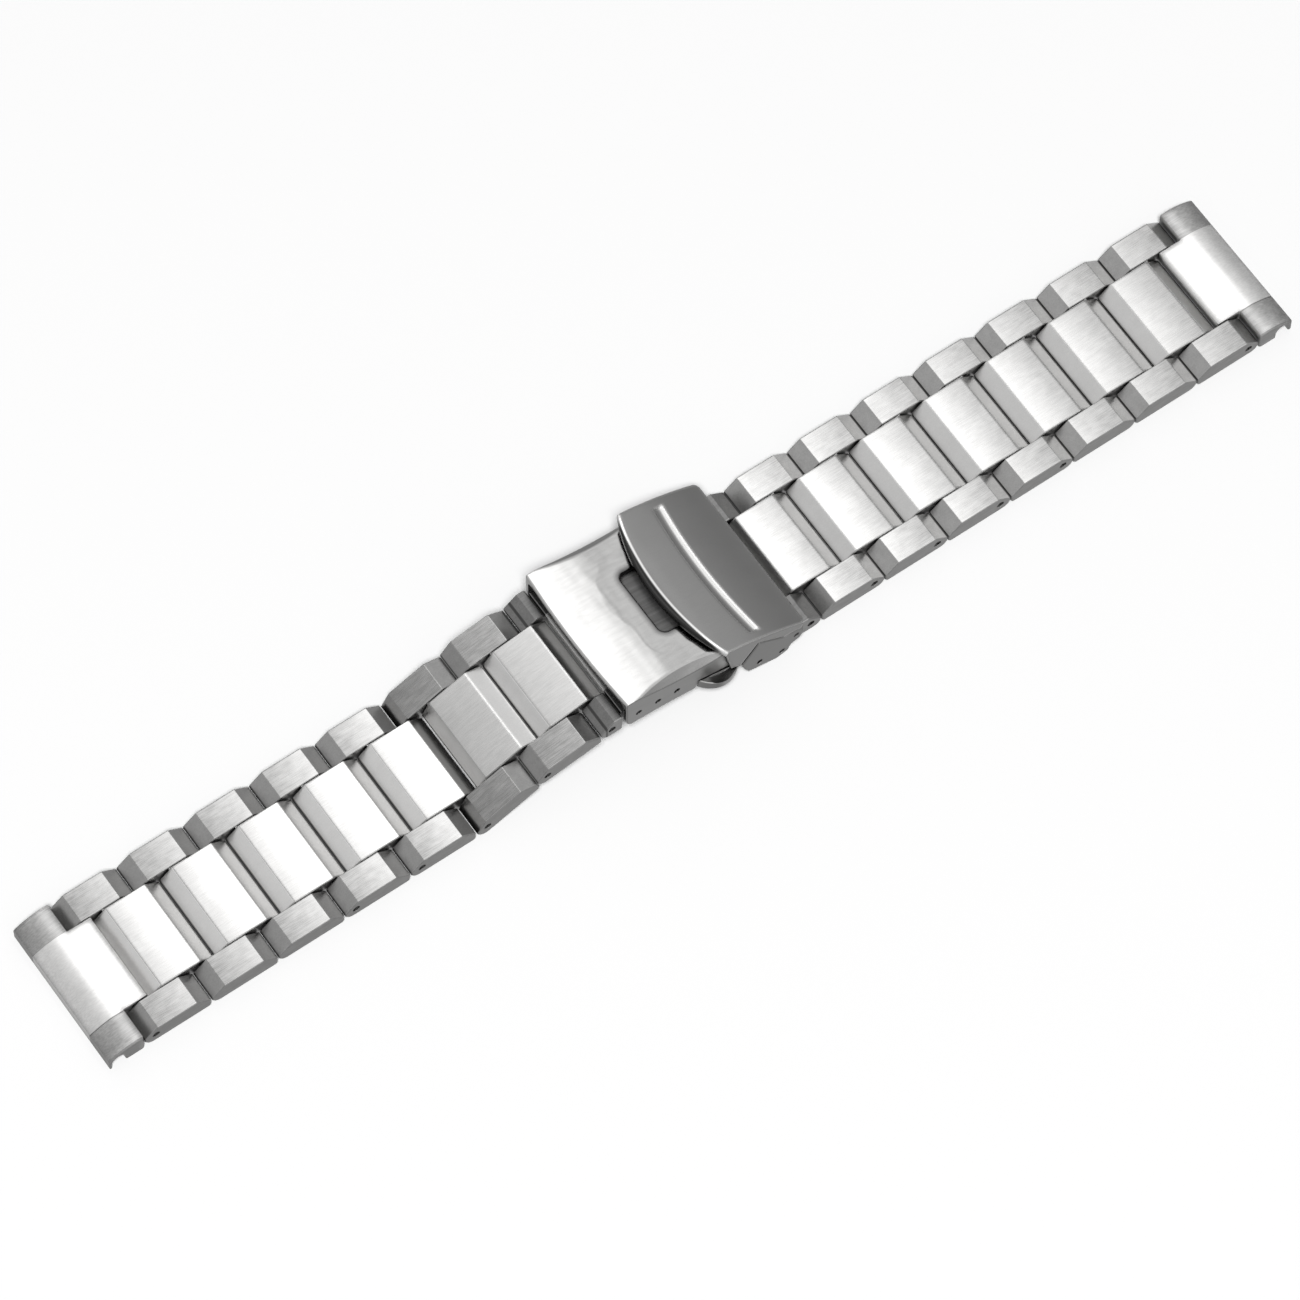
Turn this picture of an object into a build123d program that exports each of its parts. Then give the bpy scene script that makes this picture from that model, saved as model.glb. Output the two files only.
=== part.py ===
from build123d import *
import math
import os

# The frame: X runs along the strap, Y across it, Z up from the surface it lies on.
# Every length is in millimetres.

# strap as a whole
link_length = 10.0
strap_width = 22.0
centre_width = 12.9
column_gap = 0.15
block_gap = 0.15
block_height = 3.05
axis_height = 1.45
bevel_run = 2.0
rim_bevel = 0.12
edge_round = 0.16
toe_round = 1.3
heel_round = 0.5
web_inset = 0.6
web_drop = 0.35
stagger_share = 1 / 3
axis_share = 1 / 6
links_per_half = 7
half_link_axis_x = 15.03

# link pins
pin_radius = 0.5
pin_seat_gap = 0.03
pin_run_gap = 0.05
pin_recess = 0.12
pin_slot_width = 0.22
pin_slot_depth = 1.6
pin_slot_turn = 35.0
hidden_pin_setback = 1.1
hidden_pin_links = (2, 3)

# end pieces
end_length = 7.02
end_drop = 0.3
end_lip_width = 0.42
end_lip_rise = 2.15
end_crown_run = 1.75
end_crown_rise = 2.98
end_inner_rise = 3.1
end_step_run = 2.45
lug_bar_radius = 1.0
lug_axis_inset = 1.43
lug_axis_rise = 1.0

# rise of the last links toward the clasp, in degrees
sixth_link_tilt = 22.0
seventh_link_tilt = 9.7
clasp_tilt = 14.0

# half links
half_bridge_start = 1.82
half_side_gap = 0.35
half_tongue_low = 1.0
half_tongue_high = 0.95
half_knuckle_radius = 1.15
left_block_reach = 1.6
left_bridge_end = 2.6
left_bar_reach = 3.9
left_bar_rise = 0.85
right_block_reach = 1.45
right_bridge_end = 2.3
right_tongue_half_width = 6.2
right_bar_reach = 5.28
right_bar_rise = -0.07

# spring bars
bar_radius = 0.75
bar_tip_radius = 0.4
bar_run_gap = 0.06
bar_seat_gap = 0.04
bar_flange_radius = 0.62
bar_flange_length = 0.6
bar_tip_recess = 0.15
bar_body_inset = 0.5

# clasp cover, in the clasp's own tilted frame
sheet = 0.7
cover_overhang = 0.3
cover_left = 14.77
cover_right = 3.9
cover_height = 5.95
cover_bow_radius = 70.0
cover_end_round = 1.1
cover_end_bow = 0.5
cover_lip_round = 0.3
cavity_round = 0.9
scoop_depth = 0.85
scoop_chord = 20.0
scoop_centre = -6.0
scoop_turn = 45.0
scoop_crest_round = 0.6
scoop_rim_round = 0.2
window_left = 5.5
window_right = 0.2
window_half_width = 5.0
window_round = 1.0
window_rim_round = 0.3
bar_hole_radius = 0.45
bar_hole_run = 12.62
bar_hole_step = 2.93
bar_hole_rise = 2.17

# push buttons
button_half_length = 3.2
button_reach = 1.6
button_low = 0.25
button_thickness = 1.3
button_dish_depth = 0.3
button_dish_radius = 5.5
button_dish_out = 0.8
button_slot_gap = 0.2
stem_half_length = 2.9
stem_inset = 1.7
button_travel = 0.8
button_stop_gap = 0.2
arm_right = 0.7
arm_thickness = 0.8
arm_top = 4.35
rod_radius = 0.55
rod_run = -1.1
rod_rise = 3.75
rod_end_gap = 0.35
nose_radius = 0.25
nose_length = 0.75

# button box
box_left = 6.1
box_right = 0.4
box_low = 2.45
box_top = 4.95
box_round = 0.4
rod_run_gap = 0.06
chamber_radius = 0.9
chamber_end_gap = 0.95

# button spring
spring_wire_radius = 0.13
spring_coil_radius = 0.6
spring_half_length = 2.4
spring_turns = 9

# blades
blade_thickness = 0.8
lower_blade_level = 0.05
lower_blade_side_gap = 0.3
lower_blade_right = 8.5
upper_blade_level = 1.15
upper_blade_side_gap = 1.1
blade_hinge_run = 8.2
blade_hinge_rise = 1.55
blade_knuckle_radius = 1.0
blade_pin_radius = 0.5
blade_neck_gap = 0.35
upper_neck_half_width = 2.4
knuckle_side_gap = 0.2
cover_hinge_run = 1.9
cover_hinge_rise = 2.95
cover_knuckle_radius = 1.1
cover_knuckle_half_width = 4.2
cover_pin_radius = 0.55
blade_slot_half_width = 1.8
blade_slot_half_length = 3.0
blade_slot_run = -3.0
catch_inset = 0.4
catch_thickness = 0.7
catch_half_length = 1.1
catch_rise = 1.95
catch_window_half_length = 0.6
catch_window_height = 0.6
catch_window_rise = 1.0

# end bracket
ear_side_gap = 0.1
ear_thickness = 0.65
ear_left_low = 4.97
ear_left_low_rise = -1.05
ear_left_mid = 4.0
ear_left_mid_rise = 0.1
ear_left_high = 3.35
ear_left_high_rise = 1.35
ear_peak = 4.98
ear_peak_rise = 5.35
ear_shoulder = 9.4
ear_shoulder_rise = 3.62
ear_foot = 9.58
ear_foot_rise = -1.2
ear_foot_round = 1.2
ear_waist_low = 11.1
ear_waist_low_rise = -0.3
ear_waist = 11.32
ear_waist_rise = 0.85
ear_heel = 12.55
ear_heel_rise = 1.6
ear_nose = 12.9
ear_nose_rise = 2.8
ear_brow = 12.3
ear_brow_rise = 3.72
ear_nape = 10.4
ear_nape_rise = 3.75
ear_soft = 0.3
ear_round = 0.75
floor_left = 5.0
floor_right = 8.65
floor_thickness = 0.55
floor_gap = 0.03
spare_hole_run = 6.4
spare_hole_rise = 0.2
rivet_radius = 0.6
rivet_half_spacing = 4.5
rivet_run = 6.6
rivet_head_radius = 0.95
rivet_head_height = 0.25
rivet_seat_gap = 0.03

# flip lock
flip_side_gap = 0.2
flip_wall = 0.58
flip_bow_radius = 40.0
flip_crown = 7.1
flip_lip_centre = 3.75
flip_lip_side = 0.75
flip_right = 12.42
flip_corner_round = 0.8
flip_lip_round = 0.3
crease_run = 3.75
crease_radius = 1.2
crease_depth = 0.3
crease_inset = 1.4
crease_bow = 0.9
skirt_tab_left = 1.26
skirt_tab_left_rise = 2.3
skirt_tab_right = 2.85
skirt_tab_right_rise = 1.95
skirt_step = 4.62
skirt_step_rise = 5.8
skirt_shoulder = 9.45
skirt_shoulder_rise = 3.95
skirt_nape = 10.3
skirt_nape_rise = 4.1
skirt_end = 12.1
skirt_end_rise = 4.15
skirt_soft = 0.12
flip_hinge_run = 11.7
flip_hinge_rise = 2.66
flip_knuckle_radius = 0.8
flip_lug_width = 0.85
flip_lug_side_gap = 0.2
flip_lug_top_left = 10.7
flip_lug_top_right = 12.1
flip_lug_top_rise = 5.0
flip_pin_radius = 0.4

# values that follow from the sizes above
axis_inset = link_length * axis_share
stagger = link_length * stagger_share
half_width = strap_width / 2
cut_reach = half_width
cover_half_width = half_width + cover_overhang
centre_half = centre_width / 2
side_inner = centre_half + column_gap
top_height = block_height - axis_height
rest_axis_z = axis_height + end_drop
link_tilts = {links_per_half - 1: sixth_link_tilt, links_per_half: seventh_link_tilt}
tilt = math.radians(clasp_tilt)
cover_inner = cover_half_width - sheet
half_cheek = cover_inner - half_side_gap
ear_inner = cover_half_width + ear_side_gap
ear_outer = ear_inner + ear_thickness
flip_inner = cover_half_width + flip_side_gap
flip_outer = flip_inner + flip_wall
flip_lug_outer = ear_inner - flip_lug_side_gap
flip_lug_inner = flip_lug_outer - flip_lug_width
stem_inner = cover_inner - stem_inset
box_half_width = stem_inner - button_travel - button_stop_gap
lower_blade_half_width = box_half_width - lower_blade_side_gap
catch_outer = lower_blade_half_width - catch_inset
catch_inner = catch_outer - catch_thickness
upper_blade_half_width = catch_inner - upper_blade_side_gap
rod_inner = spring_half_length + rod_end_gap
nose_inner = rod_inner - nose_length
chamber_half_length = rod_inner + chamber_end_gap


def rotated(run, rise, angle):
    """Run and rise turned by an angle in radians, run toward rise."""
    return (
        run * math.cos(angle) - rise * math.sin(angle),
        run * math.sin(angle) + rise * math.cos(angle),
    )


def rounding(before, corner, after, radius):
    """Start, middle and end of the arc that rounds a corner of an outline."""
    ways = []
    for other in (before, after):
        run, rise = other[0] - corner[0], other[1] - corner[1]
        size = math.hypot(run, rise)
        ways.append((run / size, rise / size))
    cosine = ways[0][0] * ways[1][0] + ways[0][1] * ways[1][1]
    half = math.acos(max(min(cosine, 1), -1)) / 2
    reach = radius / math.tan(half)
    run, rise = ways[0][0] + ways[1][0], ways[0][1] + ways[1][1]
    size = math.hypot(run, rise)
    depth = radius / math.sin(half) - radius
    start = (corner[0] + ways[0][0] * reach, corner[1] + ways[0][1] * reach)
    middle = (corner[0] + run / size * depth, corner[1] + rise / size * depth)
    end = (corner[0] + ways[1][0] * reach, corner[1] + ways[1][1] * reach)
    return start, middle, end


def outline(steps):
    """Face inside a closed outline of (run, rise, rounding) corners.

    A step with None in place of its rounding is the middle of an arc
    between the corners before and after it.
    """
    edges, joints = [], []
    count = len(steps)
    for i, (run, rise, radius) in enumerate(steps):
        if radius:
            before, after = steps[i - 1], steps[(i + 1) % count]
            start, middle, end = rounding(before, (run, rise), after, radius)
            edges.append(ThreePointArc(start, middle, end))
            joints.append((start, end))
        else:
            joints.append(((run, rise), (run, rise)))
    for i, (run, rise, radius) in enumerate(steps):
        ahead = (i + 1) % count
        if radius is None:
            edges.append(ThreePointArc(joints[i - 1][1], (run, rise), joints[ahead][0]))
        elif steps[ahead][2] is not None:
            edges.append(Line(joints[i][1], joints[ahead][0]))
    return make_face(edges)


def slab(face, low, high):
    """Outline in the XZ plane carried across the strap from low to high."""
    return extrude(Plane.XZ.offset(-high) * face, amount=high - low)


def rod(run, rise, radius, low, high):
    """Round bar across the strap."""
    return slab(Pos(run, rise) * Circle(radius), low, high)


def rimmed(block, amount):
    """Block with small bevels round both of its side faces."""
    for which in (0, -1):
        face = block.faces().sort_by(Axis.Y)[which]
        block = chamfer(face.edges(), length=amount)
    return block


def top_rimmed(block, amount):
    """Block with small bevels along the upper rims of both of its side faces."""
    for which in (0, -1):
        face = block.faces().sort_by(Axis.Y)[which]
        block = chamfer(face.edges().filter_by_position(Axis.Z, 0, cut_reach), length=amount)
    return block


def both_sides(piece):
    """The piece and its mirror image across the strap's centre plane."""
    return piece + mirror(piece, about=Plane.XZ)


def bow(run, level, radius=cover_bow_radius):
    """Height of a shallow arc over a run from its crown."""
    return level - run * run / (2 * radius)


def band(left, right, level, thickness, radius=cover_bow_radius):
    """Outline of a bowed strip between two runs."""
    middle = (left + right) / 2
    top = level + thickness
    return outline(
        [
            (left, bow(left, level, radius), 0),
            (middle, bow(middle, level, radius), None),
            (right, bow(right, level, radius), 0),
            (right, bow(right, top, radius), 0),
            (middle, bow(middle, top, radius), None),
            (left, bow(left, top, radius), 0),
        ]
    )


def box_steps(left, right, low, high, radius):
    """Corners of an upright rectangle, all rounded alike."""
    return [(left, low, radius), (right, low, radius), (right, high, radius), (left, high, radius)]


def block_profile(start, length, near_round, far_round):
    """Six-sided section of a strap block, bevelled at both ends of its top."""
    end = start + length
    return outline(
        [
            (start, -axis_height, near_round),
            (end, -axis_height, far_round),
            (end, 0, edge_round),
            (end - bevel_run, top_height, edge_round),
            (start + bevel_run, top_height, edge_round),
            (start, 0, edge_round),
        ]
    )


def pin_holes(side_low, side_high, centre_run):
    """Bores for the pin held in the side blocks and for the pin run through."""
    seat = rod(0, 0, pin_radius + pin_seat_gap, side_low, side_high)
    run = rod(centre_run, 0, pin_radius + pin_run_gap, -centre_half, centre_half)
    return seat + run


def web(start, end):
    """Sunk bridge that joins a link's centre column to its side columns."""
    profile = outline(
        [
            (start, -axis_height + web_drop, 0),
            (end, -axis_height + web_drop, 0),
            (end, top_height - web_drop, 0),
            (start, top_height - web_drop, 0),
        ]
    )
    reach = side_inner + column_gap
    return slab(profile, -reach, reach)


def full_link(pin_low):
    """Link with its own pin axis at the origin and the clasp toward +X."""
    length = link_length - block_gap
    side = rimmed(
        slab(
            block_profile(-axis_inset, length, toe_round, heel_round),
            side_inner,
            half_width,
        ),
        rim_bevel,
    )
    centre_start = stagger - axis_inset + block_gap
    centre = rimmed(
        slab(
            block_profile(centre_start, length, heel_round, toe_round),
            -centre_half,
            centre_half,
        ),
        rim_bevel,
    )
    bridge = web(centre_start + web_inset + bevel_run / 2, length - axis_inset - bevel_run)
    link = both_sides(side) + centre + bridge
    return link - pin_holes(pin_low, half_width, link_length)


def link_pin(low):
    """Split pin across the strap, slotted at its front end."""
    high = half_width - pin_recess
    pin = rod(0, 0, pin_radius, low, high)
    slot = Box(pin_slot_width, pin_slot_depth, strap_width)
    slot = Pos(0, low + pin_slot_depth / 2, 0) * Rot(0, pin_slot_turn, 0) * slot
    return pin - slot


def end_piece():
    """Outermost piece; the first link's pin axis is its origin, clasp toward +X."""
    lip = -end_length
    base = -axis_height - end_drop
    axis = lip + lug_axis_inset
    channel_top = base + lug_axis_rise

    def section(inner):
        return outline(
            [
                (lip, base, edge_round),
                (lip + end_lip_width, base, 0),
                (axis - lug_bar_radius, channel_top, 0),
                (axis, channel_top + lug_bar_radius, None),
                (axis + lug_bar_radius, channel_top, 0),
                (lip + end_step_run, base, edge_round),
                (inner, base, heel_round),
                (inner, base + end_inner_rise + end_drop, edge_round),
                (lip + end_crown_run + end_crown_run, base + end_inner_rise + end_drop, 0),
                (lip + end_crown_run, base + end_crown_rise, None),
                (lip, base + end_lip_rise, 0),
            ]
        )

    side = slab(section(-axis_inset - block_gap), side_inner, half_width)
    centre = slab(section(-axis_inset - block_gap), -side_inner, side_inner)
    tongue = outline(
        [
            (-axis_inset - heel_round - block_gap, -axis_height, 0),
            (axis_inset, -axis_height, toe_round),
            (axis_inset, top_height, edge_round),
            (-axis_inset - heel_round - block_gap, top_height, 0),
        ]
    )
    tongue = slab(tongue, -centre_half, centre_half)
    piece = both_sides(top_rimmed(side, rim_bevel)) + centre + tongue
    return piece - rod(0, 0, pin_radius + pin_run_gap, -centre_half, centre_half)


def half_link(block_reach, bridge_end, bridge_top, bar_reach, bar_rise, tongue_half):
    """Half link: side blocks on a link pin, and a tongue on a spring bar."""
    low = -half_tongue_low
    side = outline(
        [
            (-axis_inset, -axis_height, toe_round),
            (block_reach, -axis_height, heel_round),
            (block_reach, top_height, edge_round),
            (-axis_inset + bevel_run, top_height, edge_round),
            (-axis_inset, 0, edge_round),
        ]
    )
    side = rimmed(slab(side, side_inner, half_width), rim_bevel)
    cheek = outline(box_steps(0, bridge_end, low, half_tongue_high, 0))
    cheek = slab(cheek, side_inner, half_cheek)
    bridge = outline(box_steps(half_bridge_start, bridge_end, low, bridge_top, edge_round))
    bridge = slab(bridge, -half_cheek, half_cheek)
    tongue = outline(
        [
            (half_bridge_start + edge_round, low, 0),
            (bar_reach, bar_rise - half_knuckle_radius, 0),
            (bar_reach, bar_rise + half_knuckle_radius, 0),
            (half_bridge_start + edge_round, half_tongue_high, 0),
        ]
    )
    tongue = slab(tongue, -tongue_half, tongue_half)
    knuckle = rod(bar_reach, bar_rise, half_knuckle_radius, -tongue_half, tongue_half)
    piece = both_sides(side + cheek) + bridge + tongue + knuckle
    seat = rod(0, 0, pin_radius + pin_seat_gap, -half_width, half_width)
    bore = rod(bar_reach, bar_rise, bar_radius + bar_run_gap, -tongue_half, tongue_half)
    return piece - seat - bore


def spring_bar(run, rise, wall_inner, wall_outer):
    """Spring bar between two walls: sleeve, flanges and tips as one telescoped rod."""
    body = wall_inner - bar_body_inset
    tip = wall_outer - bar_tip_recess
    piece = rod(run, rise, bar_radius, -body, body)
    for side in (-1, 1):
        low, high = sorted((side * body, side * tip))
        piece += rod(run, rise, bar_tip_radius, low, high)
        low, high = sorted((side * body, side * (body + bar_flange_length / 2)))
        piece += rod(run, rise, bar_flange_radius, low, high)
    return piece


def wall_holes(radius, run, rise, inner, outer):
    """One round hole through each of two side walls."""
    return both_sides(rod(run, rise, radius, inner - sheet, outer + sheet))


def arc_radius(chord, depth):
    """Radius of the circle whose arc over a chord has a given depth."""
    return (chord * chord / 4 + depth * depth) / (2 * depth)


def cover_block():
    """Solid the cover is cut from, with its bowed left end."""
    left, right = -cover_left - cover_height, cover_right
    middle = (left + right) / 2
    profile = outline(
        [
            (left, bow(left, 0), 0),
            (middle, bow(middle, 0), None),
            (right, bow(right, 0), 0),
            (right, bow(right, cover_height), 0),
            (middle, bow(middle, cover_height), None),
            (left, bow(left, cover_height), 0),
        ]
    )
    block = slab(profile, -cover_half_width, cover_half_width)
    radius = arc_radius(2 * cover_half_width, cover_end_bow)
    trim = Cylinder(radius, 2 * cut_reach)
    block &= Pos(-cover_left, 0, 0) * Rot(0, -clasp_tilt, 0) * Pos(radius, 0, 0) * trim
    low = (-cover_left, 0, bow(cover_left, 0))
    block = fillet(block.edges().sort_by_distance(low)[0], cover_end_round)
    high = (-cover_left - cover_height * math.tan(tilt), 0, bow(cover_left, cover_height))
    return fillet(block.edges().sort_by_distance(high)[0], cover_lip_round)


def scoop(side):
    """Shallow crescent tool laid along one long top edge of the cover."""
    radius = arc_radius(scoop_chord, scoop_depth)
    tool = Pos(0, side * (radius - scoop_depth), 0) * Cylinder(radius, 2 * cover_height)
    slope = math.degrees(math.atan(scoop_centre / cover_bow_radius))
    edge = Pos(scoop_centre, side * cover_half_width, bow(scoop_centre, cover_height))
    return edge * Rot(0, slope, 0) * Rot(side * scoop_turn, 0, 0) * tool


def scooped_block():
    """Cover's block with both scoops cut and their crests and rims rounded."""
    block = cover_block() - scoop(-1) - scoop(1)
    crests = block.edges().filter_by(GeomType.BSPLINE).group_by(Axis.Z)[-1]
    block = fillet(crests, scoop_crest_round)
    return fillet(block.edges().filter_by(GeomType.ELLIPSE), scoop_rim_round)


def cover_cavity():
    """Space under the cover's top sheet, open below and at both ends."""
    left, right = -cover_left - 2 * cover_height, cover_right + sheet
    top = cover_height - sheet
    middle = (left + right) / 2
    profile = outline(
        [
            (left, -cut_reach, 0),
            (right, -cut_reach, 0),
            (right, bow(right, top), 0),
            (middle, bow(middle, top), None),
            (left, bow(left, top), 0),
        ]
    )
    space = slab(profile, -cover_inner, cover_inner)
    return fillet(space.edges().filter_by(GeomType.CIRCLE), cavity_round)


def windowed(shell):
    """Shell with a rounded window through its top, over the button box."""
    shape = RectangleRounded(window_left - window_right, 2 * window_half_width, window_round)
    centre = -(window_left + window_right) / 2
    shell -= extrude(Pos(centre, 0, box_top) * shape, amount=2 * sheet)
    low, high = -window_left - sheet, -window_right + sheet
    rim = shell.edges().filter_by_position(Axis.X, low, high)
    rim = rim.filter_by_position(Axis.Y, low, -low)
    rim = rim.filter_by_position(Axis.Z, cover_height - sheet / 2, cover_height)
    return fillet(rim, window_rim_round)


def cover():
    """Outer clasp cover: top sheet, two side walls, bar holes and button notches."""
    reach = button_half_length + button_slot_gap
    slot_top = button_low + button_thickness + button_slot_gap
    notch = slab(
        outline(box_steps(-reach, reach, -cut_reach, slot_top, edge_round)),
        cover_inner - sheet,
        cover_half_width + sheet,
    )
    shell = windowed(scooped_block() - cover_cavity()) - both_sides(notch)
    for k in range(3):
        run = -bar_hole_run + k * bar_hole_step
        rise = bow(run, bar_hole_rise)
        shell -= wall_holes(bar_hole_radius, run, rise, cover_inner, cover_half_width)
    seat = cover_pin_radius + pin_seat_gap
    run, rise = cover_hinge_run, cover_hinge_rise
    return shell - wall_holes(seat, run, rise, cover_inner, cover_half_width)


def push_button():
    """Front push button: dished tab, stem through the wall, arm and spring rod."""
    wall, half = cover_half_width, button_half_length
    high = button_low + button_thickness
    tab = outline(
        [
            (-half, -wall, 0),
            (0, -wall - button_reach, None),
            (half, -wall, 0),
        ]
    )
    tab = extrude(Pos(0, 0, button_low) * tab, amount=button_thickness)
    rim = tab.edges().group_by(Axis.Z)[-1] + tab.edges().group_by(Axis.Z)[0]
    tab = fillet(rim.filter_by(GeomType.CIRCLE), edge_round)
    dish = high + button_dish_radius - button_dish_depth
    tab -= Pos(0, -wall - button_dish_out, dish) * Sphere(button_dish_radius)
    stem = outline(box_steps(-stem_half_length, stem_half_length, button_low, high, 0))
    stem = slab(stem, -wall - edge_round, -stem_inner)
    arm = outline(box_steps(-stem_half_length, arm_right, button_low, arm_top, edge_round))
    arm = slab(arm, -stem_inner - arm_thickness, -stem_inner)
    shank = rod(rod_run, rod_rise, rod_radius, -stem_inner - arm_thickness / 2, -rod_inner)
    nose = rod(rod_run, rod_rise, nose_radius, -rod_inner, -nose_inner)
    return tab + stem + arm + shank + nose


def button_box():
    """Guide block under the cover's top that holds both button rods and the spring."""
    block = outline(box_steps(-box_left, -box_right, box_low, box_top, box_round))
    block = slab(block, -box_half_width, box_half_width)
    radius = rod_radius + rod_run_gap
    block -= rod(rod_run, rod_rise, radius, -box_half_width, box_half_width)
    length = chamber_half_length
    return block - rod(rod_run, rod_rise, chamber_radius, -length, length)


def button_spring():
    """Coil spring between the two button rods."""
    length = 2 * spring_half_length
    path = Helix(length / spring_turns, length, spring_coil_radius)
    start = Plane(path @ 0, z_dir=path % 0)
    coil = sweep(start * Circle(spring_wire_radius), path)
    return Pos(rod_run, spring_half_length, rod_rise) * Rot(90, 0, 0) * coil


def knuckle(run, rise, radius, low):
    """Outline of a blade's end curled round a pin, with its foot on the blade."""
    return outline(
        [
            (run - radius, low, 0),
            (run + radius, low, 0),
            (run + radius, rise, 0),
            (run, rise + radius, None),
            (run - radius, rise, 0),
        ]
    )


def upper_blade():
    """Middle blade, from the cover's hinge on the right to the blades' hinge."""
    neck_end = -blade_hinge_run + blade_knuckle_radius + blade_neck_gap
    right = cover_hinge_run + cover_knuckle_radius
    level, thick = upper_blade_level, blade_thickness
    blade = slab(
        band(neck_end, right, level, thick), -upper_blade_half_width, upper_blade_half_width
    )
    neck_half = upper_neck_half_width
    neck = slab(band(-blade_hinge_run, neck_end, level, thick), -neck_half, neck_half)
    ring = rod(-blade_hinge_run, blade_hinge_rise, blade_knuckle_radius, -neck_half, neck_half)
    knuckle_half = cover_knuckle_half_width
    run, rise, radius = cover_hinge_run, cover_hinge_rise, cover_knuckle_radius
    curl = knuckle(run, rise, radius, bow(right, level + thick / 2))
    curl = slab(curl, -knuckle_half, knuckle_half)
    slot = SlotOverall(2 * blade_slot_half_length, 2 * blade_slot_half_width)
    slot = extrude(Pos(blade_slot_run, 0, 0) * slot, amount=cut_reach)
    piece = blade + neck + ring + curl - slot
    hinge = blade_pin_radius + pin_run_gap
    piece -= rod(-blade_hinge_run, blade_hinge_rise, hinge, -neck_half, neck_half)
    return piece - rod(run, rise, cover_pin_radius + pin_run_gap, -knuckle_half, knuckle_half)


def lower_blade():
    """Lowest blade, from the blades' hinge on the left to the end bracket."""
    neck_end = -blade_hinge_run + blade_knuckle_radius + blade_neck_gap
    level, thick, half = lower_blade_level, blade_thickness, lower_blade_half_width
    blade = slab(band(neck_end, lower_blade_right, level, thick), -half, half)
    inner = upper_neck_half_width + knuckle_side_gap
    run, rise, radius = -blade_hinge_run, blade_hinge_rise, blade_knuckle_radius
    neck = slab(band(run - radius / 2, neck_end, level, thick), inner, half)
    curl = slab(knuckle(run, rise, radius, bow(run, level + thick / 2)), inner, half)
    catch = box_steps(-catch_half_length, catch_half_length, level, catch_rise, edge_round)
    opening = box_steps(
        -catch_window_half_length,
        catch_window_half_length,
        catch_window_rise,
        catch_window_rise + catch_window_height,
        edge_round,
    )
    catch = slab(outline(catch), catch_inner, catch_outer)
    catch -= slab(outline(opening), catch_inner, catch_outer)
    piece = blade + both_sides(neck + curl + catch)
    piece -= rod(run, rise, blade_pin_radius + pin_seat_gap, -half, half)
    return piece - rivet_holes()


def rivet_holes():
    """Two upright holes for the rivets of the end bracket."""
    hole = Pos(rivet_run, rivet_half_spacing, 0) * Cylinder(rivet_radius + rivet_seat_gap, cut_reach)
    return both_sides(hole)


def bracket_rivets():
    """Two rivets that hold the end bracket to the lower blade."""
    out = rivet_run + rivet_head_radius
    near = rivet_run - rivet_head_radius
    under = bow(out, lower_blade_level - floor_gap - floor_thickness) - rivet_seat_gap
    over = bow(near, lower_blade_level + blade_thickness) + rivet_seat_gap
    middle = (under + over) / 2
    shank = Pos(0, 0, middle) * Cylinder(rivet_radius, over - under)
    head = Cylinder(rivet_head_radius, rivet_head_height)
    rivet = shank + Pos(0, 0, under - rivet_head_height / 2) * head
    rivet += Pos(0, 0, over + rivet_head_height / 2) * head
    return [Pos(rivet_run, side * rivet_half_spacing, 0) * rivet for side in (-1, 1)]


def ear_outline():
    """Side view of one ear of the end bracket."""
    return outline(
        [
            (ear_left_low, ear_left_low_rise, ear_soft),
            (ear_foot, ear_foot_rise, ear_foot_round),
            (ear_waist_low, ear_waist_low_rise, ear_soft),
            (ear_waist, ear_waist_rise, ear_soft),
            (ear_heel, ear_heel_rise, ear_soft),
            (ear_nose, ear_nose_rise, ear_round),
            (ear_brow, ear_brow_rise, ear_soft),
            (ear_nape, ear_nape_rise, ear_soft),
            (ear_shoulder, ear_shoulder_rise, ear_soft),
            (ear_peak, ear_peak_rise, edge_round),
            (ear_left_high, ear_left_high_rise, edge_round),
            (ear_left_mid, ear_left_mid_rise, ear_soft),
        ]
    )


def end_bracket(bar_run, bar_rise):
    """Bracket on the lower blade: floor, and two ears for the bar and the flip lock."""
    ear = rimmed(slab(ear_outline(), ear_inner, ear_outer), rim_bevel)
    level = lower_blade_level - floor_gap - floor_thickness
    floor = band(floor_left, floor_right, level, floor_thickness)
    floor = slab(floor, -ear_inner - rim_bevel, ear_inner + rim_bevel)
    piece = both_sides(ear) + floor - rivet_holes()
    holes = (
        (bar_tip_radius + bar_seat_gap, bar_run, bar_rise),
        (flip_pin_radius + pin_seat_gap, flip_hinge_run, flip_hinge_rise),
        (bar_hole_radius, spare_hole_run, spare_hole_rise),
    )
    for radius, run, rise in holes:
        piece -= wall_holes(radius, run, rise, ear_inner, ear_outer)
    return piece


def crease():
    """Tool that presses the bowed crease into the flip lock's plate."""
    reach = flip_outer - crease_inset
    radius = arc_radius(2 * reach, crease_bow)
    tool = Pos(radius, 0, 0) * Torus(radius, crease_radius)
    tool &= Box(4 * crease_radius, 2 * reach, 4 * crease_radius)
    slope = math.degrees(math.atan(crease_run / flip_bow_radius))
    lift = crease_radius - crease_depth
    rise = bow(crease_run, flip_crown, flip_bow_radius)
    return Pos(crease_run, 0, rise) * Rot(0, slope, 0) * Pos(0, 0, lift) * tool


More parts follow.
